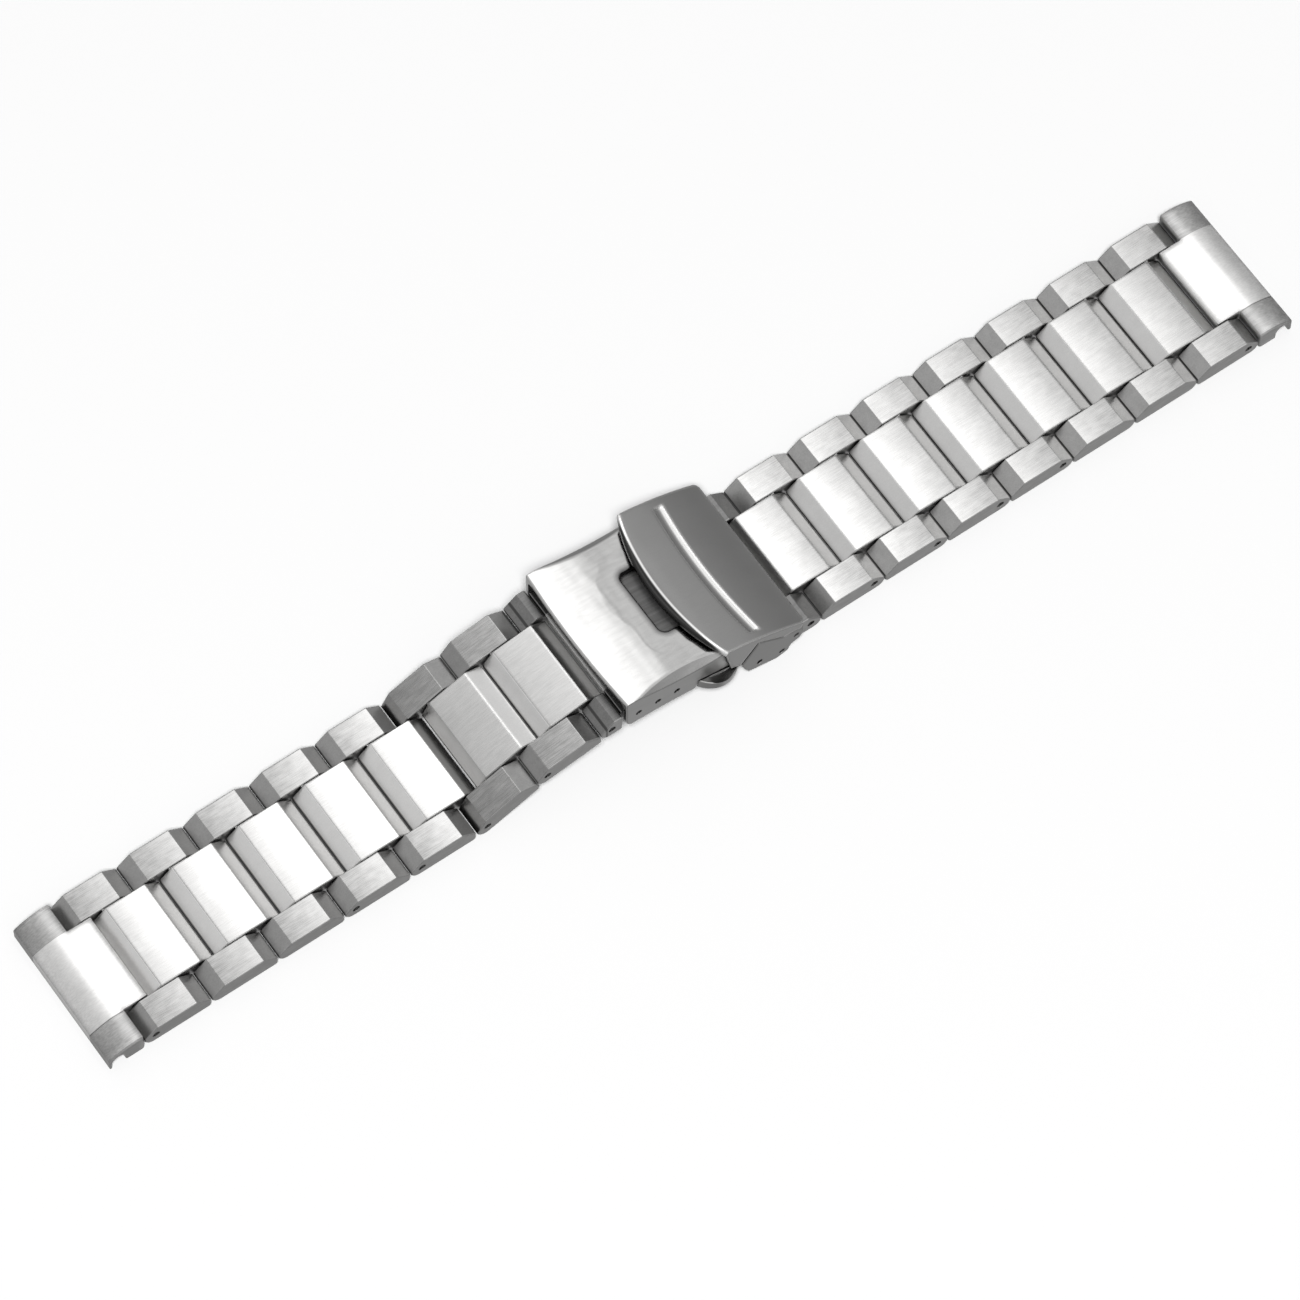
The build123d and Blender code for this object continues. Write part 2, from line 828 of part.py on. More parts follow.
def flip_plate():
    """Bowed top plate of the flip lock, with its curved lip and its crease."""
    left, right = -flip_lip_centre, flip_right
    level = flip_crown - sheet
    plate = band(left, right, level, sheet, flip_bow_radius)
    plate = slab(plate, -flip_outer, flip_outer)
    ends = plate.edges().filter_by(Axis.Z).group_by(Axis.X)[-1]
    plate = fillet(ends, flip_corner_round)
    depth = flip_lip_centre - flip_lip_side
    radius = arc_radius(2 * flip_outer, depth)
    plate &= Pos(left + radius, 0, 0) * Cylinder(radius, 2 * cut_reach)
    top = plate.faces().filter_by(GeomType.CYLINDER).sort_by(Axis.Z)[-1]
    return fillet(top.edges().sort_by(Axis.X)[0], flip_lip_round) - crease()


def flip_skirt():
    """One side wall of the flip lock, stepped round the bracket's ear."""
    level = flip_crown - sheet / 2
    right = skirt_end
    middle = (right - flip_lip_side) / 2
    profile = outline(
        [
            (-flip_lip_side, bow(flip_lip_side, level, flip_bow_radius), 0),
            (skirt_tab_left, skirt_tab_left_rise, skirt_soft),
            (skirt_tab_right, skirt_tab_right_rise, skirt_soft),
            (skirt_step, skirt_step_rise, skirt_soft),
            (skirt_shoulder, skirt_shoulder_rise, skirt_soft),
            (skirt_nape, skirt_nape_rise, skirt_soft),
            (skirt_end, skirt_end_rise, 0),
            (right, bow(right, level, flip_bow_radius), 0),
            (middle, bow(middle, level, flip_bow_radius), None),
        ]
    )
    return slab(profile, flip_inner, flip_outer)


def flip_lock():
    """Flip lock: plate, two skirts and two hinge lugs."""
    run, rise, radius = flip_hinge_run, flip_hinge_rise, flip_knuckle_radius
    lug = outline(
        [
            (run - radius, rise, 0),
            (run + radius, rise, 0),
            (flip_lug_top_right, flip_lug_top_rise, 0),
            (flip_lug_top_left, flip_lug_top_rise, 0),
        ]
    )
    lug = slab(lug, flip_lug_inner, flip_lug_outer)
    lug += rod(run, rise, radius, flip_lug_inner, flip_lug_outer)
    piece = flip_plate() + both_sides(flip_skirt() + lug)
    bore = flip_pin_radius + pin_run_gap
    return piece - wall_holes(bore, run, rise, flip_lug_inner, flip_lug_outer)


def clasp_frame():
    """Origin of the clasp's tilted frame, and the right bar's place in it."""
    x, z = -half_link_axis_x - link_length * len(link_tilts), rest_axis_z
    for angle in link_tilts.values():
        run, rise = rotated(link_length, 0, math.radians(angle))
        x, z = x + run, z + rise
    hole = (-bar_hole_run, bow(bar_hole_run, bar_hole_rise))
    run, rise = rotated(hole[0], hole[1], -tilt)
    origin = (x + left_bar_reach - run, z + left_bar_rise - rise)
    bar = (half_link_axis_x - right_bar_reach, rest_axis_z + right_bar_rise)
    return origin, rotated(bar[0] - origin[0], bar[1] - origin[1], tilt)


def link_places():
    """Pin axis and rise in degrees of each left link, and of the left half link."""
    places = {}
    x, z = -half_link_axis_x - link_length * links_per_half, rest_axis_z
    for k in range(1, links_per_half + 1):
        angle = link_tilts.get(k, 0)
        places[k] = (x, z, angle)
        run, rise = rotated(link_length, 0, math.radians(angle))
        x, z = x + run, z + rise
    places[links_per_half + 1] = (x, z, 0)
    return places


def strap_nodes():
    """Every piece of both strap halves, in place."""
    nodes = {}
    left = link_places()
    last = links_per_half + 1
    hidden_low = -half_width + hidden_pin_setback
    open_link, closed_link = full_link(-half_width), full_link(hidden_low)
    open_pin, closed_pin = link_pin(-half_width + pin_recess), link_pin(hidden_low)
    for k in range(1, last + 1):
        hidden = k in hidden_pin_links
        x, z, angle = left[k]
        place = Pos(x, 0, z) * Rot(0, -angle, 0)
        x = half_link_axis_x + link_length * (last - k)
        mirrored = Pos(x, 0, rest_axis_z)
        pin = closed_pin if hidden else open_pin
        nodes[f"link_pin_left_{k}"] = place * pin
        nodes[f"link_pin_right_{k}"] = mirrored * mirror(pin, about=Plane.YZ)
        if k < last:
            link = closed_link if hidden else open_link
            nodes[f"link_left_{k}"] = place * link
            nodes[f"link_right_{k}"] = mirrored * mirror(link, about=Plane.YZ)
    half = half_link(
        left_block_reach,
        left_bridge_end,
        top_height,
        left_bar_reach,
        left_bar_rise,
        half_cheek,
    )
    x, z, angle = left[last]
    nodes["half_link_left"] = Pos(x, 0, z) * half
    half = half_link(
        right_block_reach,
        right_bridge_end,
        half_tongue_high,
        right_bar_reach,
        right_bar_rise,
        right_tongue_half_width,
    )
    nodes["half_link_right"] = Pos(half_link_axis_x, 0, rest_axis_z) * mirror(half, about=Plane.YZ)
    end = end_piece()
    x = half_link_axis_x + link_length * links_per_half
    nodes["end_piece_left"] = Pos(-x, 0, rest_axis_z) * end
    nodes["end_piece_right"] = Pos(x, 0, rest_axis_z) * mirror(end, about=Plane.YZ)
    return nodes


def clasp_nodes():
    """Every piece of the clasp, in place."""
    origin, bar = clasp_frame()
    place = Pos(origin[0], 0, origin[1]) * Rot(0, clasp_tilt, 0)
    button = push_button()
    hole = (-bar_hole_run, bow(bar_hole_run, bar_hole_rise))
    cover_pin = cover_half_width - pin_recess
    blade_pin = lower_blade_half_width - pin_recess
    flip_pin = ear_outer - pin_recess
    pieces = {
        "cover": cover(),
        "button_box": button_box(),
        "button_spring": button_spring(),
        "button_front": button,
        "button_back": mirror(button, about=Plane.XZ),
        "cover_hinge_pin": rod(
            cover_hinge_run, cover_hinge_rise, cover_pin_radius, -cover_pin, cover_pin
        ),
        "blade_hinge_pin": rod(
            -blade_hinge_run, blade_hinge_rise, blade_pin_radius, -blade_pin, blade_pin
        ),
        "flip_lock_pin": rod(
            flip_hinge_run, flip_hinge_rise, flip_pin_radius, -flip_pin, flip_pin
        ),
        "upper_blade": upper_blade(),
        "lower_blade": lower_blade(),
        "end_bracket": end_bracket(*bar),
        "flip_lock": flip_lock(),
        "spring_bar_left": spring_bar(*hole, cover_inner, cover_half_width),
        "spring_bar_right": spring_bar(*bar, ear_inner, ear_outer),
        "bracket_rivets": Compound(children=bracket_rivets()),
    }
    return {name: place * piece for name, piece in pieces.items()}


def main():
    """Write every piece as its own STEP file."""
    os.makedirs("parts", exist_ok=True)
    for name, piece in {**strap_nodes(), **clasp_nodes()}.items():
        export_step(piece, f"parts/{name}.step")


if __name__ == "__main__":
    main()
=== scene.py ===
"""Looks of a steel link watch bracelet that lies flat with its folding clasp closed.

Lengths are in metres. X runs along the strap, Y across it and Z up. The sizes that a finish
needs, such as the width of the centre blocks, are repeated here in named values.
"""

import logging
import math
from dataclasses import dataclass, replace
from enum import Enum

import bpy
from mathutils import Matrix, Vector

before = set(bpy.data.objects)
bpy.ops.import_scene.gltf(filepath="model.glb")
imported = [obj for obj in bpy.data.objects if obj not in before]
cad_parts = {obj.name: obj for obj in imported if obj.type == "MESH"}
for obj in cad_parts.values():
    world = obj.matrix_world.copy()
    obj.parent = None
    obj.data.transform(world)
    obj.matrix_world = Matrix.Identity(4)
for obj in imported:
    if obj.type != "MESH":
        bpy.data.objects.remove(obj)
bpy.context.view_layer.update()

LOG = logging.getLogger("bracelet")
MM = 0.001
PHOTO_PIXELS = 1300

# Sizes of the strap and the clasp that the finishes follow
LINKS_PER_HALF = 7
LINK_PITCH = 10.0 * MM
HALF_LINK_PIN = 15.03 * MM
CENTRE_HALF_WIDTH = 6.52 * MM
CLASP_TILT = -14.0

# More pitches than half the strap has, so that a count of them stays above 0
SPARE_PITCHES = 10

# Factors of the tone for the painted shade in gaps and at a block's two ends, its rise for the painted
# highlight on edges, the steel's colour
GAP_SHADE = 0.04
FOOT_SHADE = 0.35
EDGE_HIGHLIGHT = 0.45
STEEL_CAST = (1.0, 0.995, 0.985)

# Components of a normal between which one kind of face passes into the next
TOP_FACING = (0.86, 0.97)
END_FACING = (0.68, 0.86)
WALL_FACING = (0.55, 0.8)

# 1 minus the cosine of an edge's turn, where its painted highlight starts and where it is full
HIGHLIGHT_TURN = (0.01, 0.12)

# Noise between which the lines of the brushing go from dark to bright
SHARP_LINES = (0.3, 0.7)

# Strengths of specks and patches in the tone, and of lines and patches in the roughness
MOTTLE = 1.6
PATCH = 0.1
LINE_ROUGHNESS = 0.25
PATCH_ROUGHNESS = 0.4

# Depth of the links' brushing in metres, and how far it stretches a reflection
BLOCK_GRAIN_DEPTH = 1.2e-6
BLOCK_STRETCH = 0.35
SHEET_STRETCH = 0.2

# Rays by which a material looks for edges and gaps round it
SURROUND_SAMPLES = 6

Socket = bpy.types.NodeSocket
Material = bpy.types.Material
Pair = tuple[float, float]


class Grain(Enum):
    """Direction that a piece was brushed in, as noise frequencies per metre along X, Y, Z."""

    LENGTHWISE = (420.0, 6500.0, 6500.0)
    FLOWING = (260.0, 1900.0, 1900.0)
    FINE = (500.0, 11000.0, 11000.0)
    TUMBLED = (2600.0, 2600.0, 2600.0)
    HATCHED = (60.0, 2400.0, 2400.0)


class Unevenness(Enum):
    """Changes in tone or form that no brush made, as noise frequencies per metre."""

    BLOCK_PATCH = (160.0, 240.0, 240.0)
    BLOCK_SPECK = (700.0, 1000.0, 1000.0)
    SHEET_PATCH = (220.0, 300.0, 300.0)
    SHEET_PRESSING = (340.0, 120.0, 210.0)
    SINK_EDGE = (330.0, 190.0, 190.0)


class Side(Enum):
    """Half of the strap, with the word for it in the names of the pieces."""

    LEFT = "left"
    RIGHT = "right"


@dataclass(frozen=True)
class Face:
    """Finish of the faces that look one way.

    Attributes:
        tone: Share of light that the steel mirrors.
        roughness: Spread of its reflection.
        streak: Strength of the grain's lines in the tone.
    """

    tone: float
    roughness: float
    streak: float = 0.0


@dataclass(frozen=True)
class Faces:
    """Finishes of a block, by the way that its faces look. Tones that differ from face to face paint in
    light and shade as well as the finish.

    Attributes:
        top: Flat top and underside.
        left: Bevel toward -X.
        right: Bevel toward +X.
        wall: Walls that look across the strap.
        end: Steep ends under the bevels, with low tones that paint shade into the gaps between blocks and
            high ones that paint light where a neighbour mirrors them.
    """

    top: Face
    left: Face
    right: Face
    wall: Face
    end: Face


class Graph:
    """Small helper that adds nodes to a material and joins them.

    Attributes:
        material: The material.
        tree: Its tree of nodes.
        coordinates: Node that gives a point's place and normal on the piece.
    """

    def __init__(self, name: str) -> None:
        """Makes an empty material.

        Args:
            name: Name of the material.
        """
        self.material = bpy.data.materials.new(name)
        self.material.use_nodes = True
        self.tree = self.material.node_tree
        self.tree.nodes.clear()
        self.coordinates = self.node("ShaderNodeTexCoord")

    def node(self, kind: str, **settings: object) -> bpy.types.Node:
        """Adds one node.

        Args:
            kind: Blender's name for the kind of node.
            **settings: Properties to set on it.

        Returns:
            The new node.
        """
        made = self.tree.nodes.new(kind)
        for key, value in settings.items():
            setattr(made, key, value)
        return made

    def feed(self, target: Socket, value: object) -> None:
        """Links a socket, or sets its own value where a plain number or colour is given.

        Args:
            target: Input to fill.
            value: Socket, number or sequence.
        """
        if isinstance(value, bpy.types.NodeSocket):
            self.tree.links.new(value, target)
        else:
            target.default_value = value

    def math(self, operation: str, first: object, second: object = 0.0, third: object = 0.0) -> Socket:
        """Adds one step of arithmetic.

        Args:
            operation: Blender's name for the step.
            first: First number or socket.
            second: Second number or socket.
            third: Third number or socket.

        Returns:
            The result's socket.
        """
        made = self.node("ShaderNodeMath", operation=operation)
        for target, value in zip(made.inputs, (first, second, third)):
            self.feed(target, value)
        return made.outputs[0]

    def smooth(self, value: Socket, low: float, high: float) -> Socket:
        """Adds a smooth step.

        Args:
            value: Number that drives the step.
            low: Number at which the step is 0.
            high: Number at which it is 1, below low where the step falls.

        Returns:
            The step's socket.
        """
        made = self.node("ShaderNodeMapRange", interpolation_type="SMOOTHSTEP")
        self.feed(made.inputs["Value"], value)
        made.inputs["From Min"].default_value = low
        made.inputs["From Max"].default_value = high
        return made.outputs[0]

    def between(self, share: Socket, low: object, high: object) -> Socket:
        """Blends two numbers.

        Args:
            share: Place between them, from 0 to 1.
            low: Number or socket where the share is 0.
            high: Number or socket where the share is 1.

        Returns:
            The blend's socket.
        """
        made = self.node("ShaderNodeMix", data_type="FLOAT")
        for target, value in zip((made.inputs[0], made.inputs[2], made.inputs[3]), (share, low, high)):
            self.feed(target, value)
        return made.outputs[0]

    def swing(self, value: Socket, strength: object) -> Socket:
        """Number from 0 to 1 made to swing round 0, times a strength."""
        return self.math("MULTIPLY", self.math("SUBTRACT", value, 0.5), strength)

    def parts(self, vector: Socket) -> tuple[Socket, Socket, Socket]:
        """Splits a vector.

        Args:
            vector: Vector to split.

        Returns:
            The sockets of its X, Y and Z.
        """
        made = self.node("ShaderNodeSeparateXYZ")
        self.feed(made.inputs[0], vector)
        return made.outputs[0], made.outputs[1], made.outputs[2]

    def level(self, output: str, tilt: float) -> Socket:
        """Turns the piece's place or normal about Y, into the frame in which the piece is level.

        Args:
            output: Name of the coordinate, Object or Normal.
            tilt: Rise of the piece toward +X, in degrees.

        Returns:
            The turned vector's socket.
        """
        made = self.node("ShaderNodeVectorRotate", rotation_type="Y_AXIS")
        self.feed(made.inputs["Vector"], self.coordinates.outputs[output])
        made.inputs["Angle"].default_value = math.radians(tilt)
        return made.outputs[0]

    def noise(self, vector: Socket, frequencies: Grain | Unevenness, detail: float) -> Socket:
        """Adds noise that is stretched along the axes.

        Args:
            vector: Place in metres.
            frequencies: Waves per metre along X, Y and Z.
            detail: Octaves of finer noise.

        Returns:
            A socket from 0 to 1, about 0.5 on average.
        """
        spread = self.node("ShaderNodeMapping")
        self.feed(spread.inputs["Vector"], vector)
        spread.inputs["Scale"].default_value = frequencies.value
        made = self.node("ShaderNodeTexNoise")
        self.feed(made.inputs["Vector"], spread.outputs[0])
        made.inputs["Scale"].default_value = 1.0
        made.inputs["Detail"].default_value = detail
        return made.outputs["Fac"]

    def bump(self, height: Socket, distance: float, under: Socket) -> Socket:
        """Raises a surface by a height from 0 to 1 times a distance in metres.

        Args:
            height: Height, from 0 to 1.
            distance: Rise of the surface where the height is 1.
            under: Normal of the surface before.

        Returns:
            The new normal's socket.
        """
        made = self.node("ShaderNodeBump")
        self.feed(made.inputs["Height"], height)
        made.inputs["Distance"].default_value = distance
        self.feed(made.inputs["Normal"], under)
        return made.outputs[0]

    def softened(self, radius: object) -> Socket:
        """Turns the normal gradually over each edge, as if it were rounded.

        Args:
            radius: Radius of the rounding, as a number or socket.

        Returns:
            The softened normal's socket.
        """
        made = self.node("ShaderNodeBevel", samples=SURROUND_SAMPLES)
        self.feed(made.inputs["Radius"], radius)
        return made.outputs[0]

    def highlight_edges(self, rounded: Socket) -> Socket:
        """Mask of edges for a painted highlight: 0 on open faces, 1 where the rounded normal leaves the
        true one.

        Args:
            rounded: Normal from softened().

        Returns:
            The mask's socket, from 1 minus the dot product of both normals.
        """
        true = self.node("ShaderNodeNewGeometry")
        dot = self.node("ShaderNodeVectorMath", operation="DOT_PRODUCT")
        self.feed(dot.inputs[0], rounded)
        self.feed(dot.inputs[1], true.outputs["Normal"])
        return self.smooth(self.math("SUBTRACT", 1.0, dot.outputs["Value"]), *HIGHLIGHT_TURN)

    def painted_gap_shade(self, reach: float, openness: Pair) -> Socket:
        """Factor of the tone that paints shade into narrow gaps.

        Args:
            reach: Distance within which other surfaces count as close.
            openness: Open shares of the surroundings at which a gap's shade is full and at which it ends.

        Returns:
            The factor's socket, 1 on open faces.
        """
        made = self.node("ShaderNodeAmbientOcclusion", samples=SURROUND_SAMPLES)
        made.inputs["Distance"].default_value = reach
        return self.between(self.smooth(made.outputs["AO"], *openness), GAP_SHADE, 1.0)

    def steel(self, tone: Socket, roughness: Socket, normal: Socket, anisotropy: float) -> Material:
        """Ends the graph in a metal shader.

        Args:
            tone: Grey of the reflection.
            roughness: Spread of the reflection.
            normal: Bumped normal.
            anisotropy: Stretch of the reflection across the grain.

        Returns:
            The finished material.
        """
        grey = self.node("ShaderNodeCombineColor")
        for target, cast in zip(grey.inputs, STEEL_CAST):
            self.feed(target, self.math("MULTIPLY", tone, cast))
        shader = self.node("ShaderNodeBsdfPrincipled")
        shader.inputs["Metallic"].default_value = 1.0
        shader.inputs["Anisotropic"].default_value = anisotropy
        self.feed(shader.inputs["Base Color"], grey.outputs[0])
        self.feed(shader.inputs["Roughness"], roughness)
        self.feed(shader.inputs["Normal"], normal)
        output = self.node("ShaderNodeOutputMaterial")
        self.feed(output.inputs["Surface"], shader.outputs[0])
        return self.material


@dataclass(frozen=True)
class BlockSteel:
    """Brushed steel of a link, in which side blocks and centre blocks are finished apart.

    Attributes:
        name: Name of the finish.
        side: Faces of the side blocks.
        centre: Faces of the centre blocks.
        tilt: Rise of the piece toward +X, in degrees.
        pin_reach: Distance of a link's pin axis from the middle, along the tilted piece.
        centre_half: Half the width of the centre blocks.
        fade: Share by which a top brightens from a block's outer end to its clasp end, as painted light.
        lift: Factors of a top's tone at the outer end of the strap and next to the clasp, as painted
            light.
        strap_reach: Distances from the middle at which that painted light starts and ends.
        pitch: Length of a link.
        lead: Distance from a link's pin axis to the outer end of its side blocks.
        stagger: Shift of the centre blocks toward the clasp.
        foot: Distances from a block's middle, in shares of the pitch, over which painted shade darkens it.
        gap_reach: Width of the gaps into which shade is painted.
        openness: Open shares of the surroundings at which a gap's shade is full and at which it ends.
        edge_radii: Radii that the edges of side blocks and centre blocks look rounded by.
    """

    name: str
    side: Faces
    centre: Faces
    tilt: float = 0.0
    pin_reach: float = HALF_LINK_PIN
    centre_half: float = CENTRE_HALF_WIDTH
    fade: float = 0.0
    lift: Pair = (1.0, 1.0)
    strap_reach: Pair = (90.0 * MM, 15.0 * MM)
    foot: Pair = (0.478, 0.49)
    pitch: float = LINK_PITCH
    lead: float = 1.67 * MM
    stagger: float = 3.48 * MM
    gap_reach: float = 0.35 * MM
    openness: Pair = (0.05, 0.45)
    edge_radii: Pair = (0.14 * MM, 0.5 * MM)

    def masks(self, graph: Graph) -> dict[str, Socket]:
        """Masks of the ways in which a block's surface can face.

        Args:
            graph: Graph to add to.

        Returns:
            By the name of a Faces field, 1 where the surface faces that way. Where two masks
            meet, the later one holds.
        """
        ahead, across, up = graph.parts(graph.level("Normal", self.tilt))
        return {
            "right": graph.math("GREATER_THAN", ahead, 0.0),
            "end": graph.smooth(graph.math("ABSOLUTE", ahead), *END_FACING),
            "top": graph.smooth(graph.math("ABSOLUTE", up), *TOP_FACING),
            "wall": graph.smooth(graph.math("ABSOLUTE", across), *WALL_FACING),
        }

    def columns(self, graph: Graph, pick: str, centre: Socket, masks: dict[str, Socket]) -> Socket:
        """One property of the finish, chosen by column and by the way the surface faces.

        Args:
            graph: Graph to add to.
            pick: Name of the Face field.
            centre: 1 on the centre blocks, 0 on the side blocks.
            masks: Result of masks().

        Returns:
            The property's socket.
        """
        found = []
        for faces in (self.side, self.centre):
            value = getattr(faces.left, pick)
            for name, mask in masks.items():
                value = graph.between(mask, value, getattr(getattr(faces, name), pick))
            found.append(value)
        return graph.between(centre, *found)

    def along(self, graph: Graph, reach: Socket, shift: float) -> Socket:
        """Place along a block, from 0 at its outer end to 1 at its clasp end.

        Args:
            graph: Graph to add to.
            reach: Distance from the middle of the strap.
            shift: Shift of the block's column toward the clasp.

        Returns:
            The place's socket: how far the block's outer end lies beyond the point, in pitches,
            without its whole part. The spare pitches keep the number above 0.
        """
        start = (self.pin_reach + self.lead - shift) / self.pitch + SPARE_PITCHES
        share = graph.math("SUBTRACT", start, graph.math("DIVIDE", reach, self.pitch))
        return graph.math("FRACT", share)

    def shading(self, graph: Graph, x: Socket, centre: Socket, top: Socket) -> tuple[Socket, Socket]:
        """Changes of the tone along each block and along the strap: painted light and shade.

        Args:
            graph: Graph to add to.
            x: Place along the strap in the piece's level frame.
            centre: 1 on the centre blocks, 0 on the side blocks.
            top: 1 on the flat tops.

        Returns:
            What the tops' painted fade of light adds to the tone's factor, and what the painted shade at a
            block's two ends and the painted light along the strap multiply it by.
        """
        reach = graph.math("ABSOLUTE", x)
        run = graph.between(centre, self.along(graph, reach, 0.0), self.along(graph, reach, self.stagger))
        fade = graph.swing(run, graph.math("MULTIPLY", top, 2 * self.fade))
        # Painted shade at a block's two ends, next to the gaps
        foot = graph.smooth(graph.math("ABSOLUTE", graph.math("SUBTRACT", run, 0.5)), *self.foot)
        lift = graph.between(graph.smooth(reach, *self.strap_reach), *self.lift)
        lift = graph.between(top, 1.0, lift)
        return fade, graph.math("MULTIPLY", lift, graph.between(foot, 1.0, FOOT_SHADE))

    def build(self) -> Material:
        """Makes the material.

        Returns:
            Material that reads the piece's own coordinates.
        """
        graph = Graph(self.name)
        place = graph.level("Object", self.tilt)
        x, y, _ = graph.parts(place)
        masks = self.masks(graph)
        centre = graph.math("LESS_THAN", graph.math("ABSOLUTE", y), self.centre_half)
        tone, roughness, streak = (
            self.columns(graph, pick, centre, masks) for pick in ("tone", "roughness", "streak")
        )
        lines = graph.noise(place, Grain.LENGTHWISE, detail=3.0)
        cloud = graph.noise(place, Unevenness.BLOCK_PATCH, detail=2.0)
        speck = graph.noise(place, Unevenness.BLOCK_SPECK, detail=3.0)
        stripes = graph.swing(graph.smooth(lines, *SHARP_LINES), streak)
        mottle = graph.swing(speck, graph.math("MULTIPLY", streak, MOTTLE))
        patch = graph.math("ADD", graph.swing(cloud, PATCH), mottle)
        # Painted light along each block and along the strap, and painted shade at a block's two ends
        fade, scale = self.shading(graph, x, centre, masks["top"])
        factor = graph.math("ADD", graph.math("ADD", 1.0, fade), graph.math("ADD", stripes, patch))
        factor = graph.math("MULTIPLY", factor, scale)
        normal = graph.softened(graph.between(centre, *self.edge_radii))
        # Painted highlight on the side blocks' edges
        wear = graph.math("MULTIPLY", graph.highlight_edges(normal), graph.between(centre, EDGE_HIGHLIGHT, 0.0))
        factor = graph.math("MULTIPLY", factor, graph.math("ADD", 1.0, wear))
        # Painted shade in narrow gaps
        gaps = graph.painted_gap_shade(self.gap_reach, self.openness)
        tone = graph.math("MULTIPLY", graph.math("MULTIPLY", tone, factor), gaps)
        rough = graph.math("ADD", roughness, graph.math("MULTIPLY", stripes, LINE_ROUGHNESS))
        return graph.steel(tone, rough, graph.bump(lines, BLOCK_GRAIN_DEPTH, normal), BLOCK_STRETCH)


@dataclass(frozen=True)
class Sink:
    """Soft sink of a sheet toward an opening, a rounded rectangle in the sheet's level frame.

    Attributes:
        middle: X of its centre in the level frame.
        half_run: Half of its length along the strap.
        half_width: Half of its width across the strap.
        corner: Radius of its corners.
        reach: Distance over which the sheet sinks.
        depth: Depth of the sink.
        inner_share: Share of the reach by which the slope goes on inside the opening.
        sway_share: Share of the reach from which the sink's outer edge starts to sway.
        rim: Width of the line of painted shade round the opening.
        rim_share: Share of the rim by which the line starts inside the opening.
        rim_shade: Tone where the line of painted shade starts.
    """

    middle: float = -3.813 * MM
    half_run: float = 2.65 * MM
    half_width: float = 5.0 * MM
    corner: float = 1.0 * MM
    reach: float = 3.4 * MM
    depth: float = 0.24 * MM
    inner_share: float = 0.3
    sway_share: float = 0.2
    rim: float = 1.2 * MM
    rim_share: float = 0.17
    rim_shade: float = 0.1

    def away(self, graph: Graph, place: Socket) -> Socket:
        """Distance to the opening's rim, positive outside.

        It is the length of the outward part of (|x| - a, |y| - b), plus its inward part, less
        the corner's radius; a and b are the half sizes less that radius.

        Args:
            graph: Graph to add to.
            place: Place in the level frame.

        Returns:
            The distance's socket.
        """
        x, y, _ = graph.parts(place)
        beside = graph.math("ABSOLUTE", graph.math("SUBTRACT", x, self.middle))
        beside = graph.math("SUBTRACT", beside, self.half_run - self.corner)
        across = graph.math("SUBTRACT", graph.math("ABSOLUTE", y), self.half_width - self.corner)
        out_run, out_width = (graph.math("MAXIMUM", each, 0.0) for each in (beside, across))
        square = graph.math("MULTIPLY_ADD", out_run, out_run, graph.math("MULTIPLY", out_width, out_width))
        inward = graph.math("MINIMUM", graph.math("MAXIMUM", beside, across), 0.0)
        return graph.math("SUBTRACT", graph.math("ADD", graph.math("SQRT", square), inward), self.corner)

    def height(self, graph: Graph, place: Socket) -> Socket:
        """Height of the sheet round the opening, with an uneven outer edge.

        Args:
            graph: Graph to add to.
            place: Place in the level frame.

        Returns:
            The height's socket, from 0 inside the opening to 1 a reach away from it.
        """
        away = self.away(graph, place)
        sway = graph.swing(
            graph.noise(place, Unevenness.SINK_EDGE, detail=1.0),
            graph.smooth(away, self.sway_share * self.reach, self.reach),
        )
        away = graph.math("MULTIPLY_ADD", sway, self.reach, away)
        return graph.smooth(away, -self.inner_share * self.reach, self.reach)

    def shade(self, graph: Graph, place: Socket) -> Socket:
        """Factor of the tone, from painted shade at the rim to 1 beyond that line."""
        clear = graph.smooth(self.away(graph, place), -self.rim_share * self.rim, self.rim)
        return graph.between(clear, self.rim_shade, 1.0)


@dataclass(frozen=True)
class HighlightArc:
    """Arc along which a highlight is painted on a sheet, with painted shadow outside it, in the sheet's
    level frame.

    Attributes:
        middle: X of the arc's centre in the level frame.
        radius: Radius of the arc.
        reach: Distance from the arc at which the painted highlight has run out.
        half_width: Distance from the centre plane at which the arc ends.
        gain: Rise of the tone on the arc: the painted highlight.
        beyond: Tone outside the arc, where the sheet turns down: painted shadow.
    """

    middle: float
    radius: float
    reach: float
    half_width: float
    gain: float
    beyond: float = 1.0

    def shade(self, graph: Graph, place: Socket) -> Socket:
        """Factor of the tone: 1 inside the arc, a painted highlight on it, and the tone beyond, a painted
        shadow, outside it.

        Args:
            graph: Graph to add to.
            place: Place in the level frame.

        Returns:
            The factor's socket.
        """
        x, y, _ = graph.parts(place)
        run = graph.math("SUBTRACT", x, self.middle)
        square = graph.math("MULTIPLY_ADD", run, run, graph.math("MULTIPLY", y, y))
        inside = graph.math("SUBTRACT", self.radius, graph.math("SQRT", square))
        near = graph.smooth(graph.math("ABSOLUTE", inside), self.reach, 0.0)
        within = graph.smooth(graph.math("ABSOLUTE", y), self.half_width, self.half_width - self.reach)
        shine = graph.math("MULTIPLY_ADD", graph.math("MULTIPLY", near, within), self.gain, 1.0)
        turn = graph.smooth(inside, -self.reach, 0.0)
        return graph.math("MULTIPLY", shine, graph.between(turn, self.beyond, 1.0))


